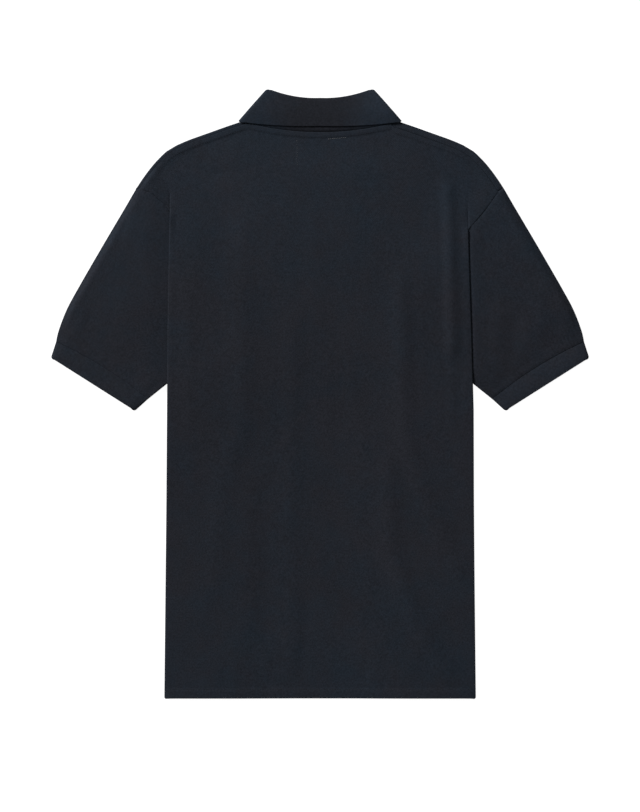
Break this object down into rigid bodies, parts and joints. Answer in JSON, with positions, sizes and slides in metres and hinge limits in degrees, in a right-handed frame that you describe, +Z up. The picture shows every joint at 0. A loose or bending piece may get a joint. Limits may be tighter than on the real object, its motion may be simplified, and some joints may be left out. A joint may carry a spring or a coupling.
{
  "type": "polo shirt",
  "caption": "Short-sleeved knit polo shirt laid flat on its front with its sides tucked in, ribbed collar and cuffs.",
  "frame": {"origin": "middle of the outline, on the surface the shirt lies on", "axes": "+X across the shirt, +Y along it towards the collar, +Z up from the surface; the back faces up"},
  "size_m": [0.669, 0.7617, 0.0106],
  "materials": {
    "pique": "dark navy cotton pique knit, matt",
    "rib": "dark navy flat-knit rib, matt",
    "button": "dark navy polyester button, soft gloss"
  },
  "bodies": {
    "root": {"back": "pique", "front": "pique", "sleeve_left": "pique", "sleeve_right": "pique", "cuff_left": "rib", "cuff_right": "rib", "collar": "rib", "placket_upper": "pique", "placket_under": "pique", "button_1": "button", "button_2": "button", "button_3": "button"}
  },
  "joints": []
}
